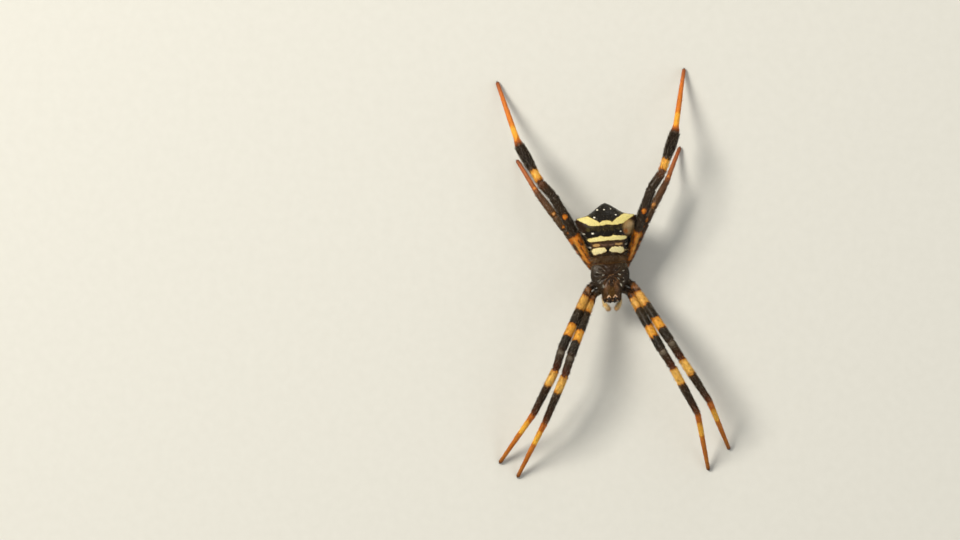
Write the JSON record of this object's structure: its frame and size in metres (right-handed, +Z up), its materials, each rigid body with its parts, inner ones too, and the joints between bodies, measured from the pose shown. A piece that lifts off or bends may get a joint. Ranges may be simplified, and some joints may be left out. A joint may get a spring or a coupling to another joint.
{
  "type": "orb weaver spider",
  "caption": "Still life-size female orb weaver in a St Andrew's cross stance: domed carapace, five-cornered banded abdomen and long ringed legs held in pairs.",
  "frame": {"origin": "on the floor below the middle of the leg span", "axes": "+Z up from the floor, -Y the way the head points (the body turned 4.6 degrees about Z), +X the animal's left; Y is the longest extent"},
  "size_m": [0.0285, 0.0497, 0.0073],
  "materials": {
    "carapace": "dark grey-brown shell under silvery hair",
    "sternum": "brown shield with a pale middle",
    "abdomen": "soft skin banded black, yellow and brown",
    "eye": "glossy black lens",
    "jaw": "smooth reddish brown",
    "fang": "glossy near-black",
    "palp": "pale translucent cream, short hair",
    "coxa": "brown skin under short hair",
    "femur": "banded orange-yellow and black, short hair",
    "dark_leg": "near-black with yellow bands, short hair",
    "foot": "rusty orange with a yellow band"
  },
  "bodies": {
    "root": {"abdomen": "abdomen", "carapace": "carapace", "chelicera_left": "jaw", "chelicera_right": "jaw", "eye_anterior_lateral_left": "eye", "eye_anterior_lateral_right": "eye", "eye_anterior_median_left": "eye", "eye_anterior_median_right": "eye", "eye_posterior_lateral_left": "eye", "eye_posterior_lateral_right": "eye", "eye_posterior_median_left": "eye", "eye_posterior_median_right": "eye", "fang_left": "fang", "fang_right": "fang", "leg_1_left_coxa": "coxa", "leg_1_left_femur": "femur", "leg_1_left_metatarsus": "foot", "leg_1_left_patella": "dark_leg", "leg_1_left_tibia": "dark_leg", "leg_1_right_coxa": "coxa", "leg_1_right_femur": "femur", "leg_1_right_metatarsus": "foot", "leg_1_right_patella": "dark_leg", "leg_1_right_tibia": "dark_leg", "leg_2_left_coxa": "coxa", "leg_2_left_femur": "femur", "leg_2_left_metatarsus": "foot", "leg_2_left_patella": "dark_leg", "leg_2_left_tibia": "dark_leg", "leg_2_right_coxa": "coxa", "leg_2_right_femur": "femur", "leg_2_right_metatarsus": "foot", "leg_2_right_patella": "dark_leg", "leg_2_right_tibia": "dark_leg", "leg_3_left_coxa": "coxa", "leg_3_left_femur": "femur", "leg_3_left_metatarsus": "foot", "leg_3_left_patella": "dark_leg", "leg_3_left_tibia": "dark_leg", "leg_3_right_coxa": "coxa", "leg_3_right_femur": "femur", "leg_3_right_metatarsus": "foot", "leg_3_right_patella": "dark_leg", "leg_3_right_tibia": "dark_leg", "leg_4_left_coxa": "coxa", "leg_4_left_femur": "femur", "leg_4_left_metatarsus": "foot", "leg_4_left_patella": "dark_leg", "leg_4_left_tibia": "dark_leg", "leg_4_right_coxa": "coxa", "leg_4_right_femur": "femur", "leg_4_right_metatarsus": "foot", "leg_4_right_patella": "dark_leg", "leg_4_right_tibia": "dark_leg", "pedicel": "coxa", "pedipalp_left": "palp", "pedipalp_right": "palp", "spinnerets": "coxa", "sternum": "sternum"}
  },
  "joints": []
}
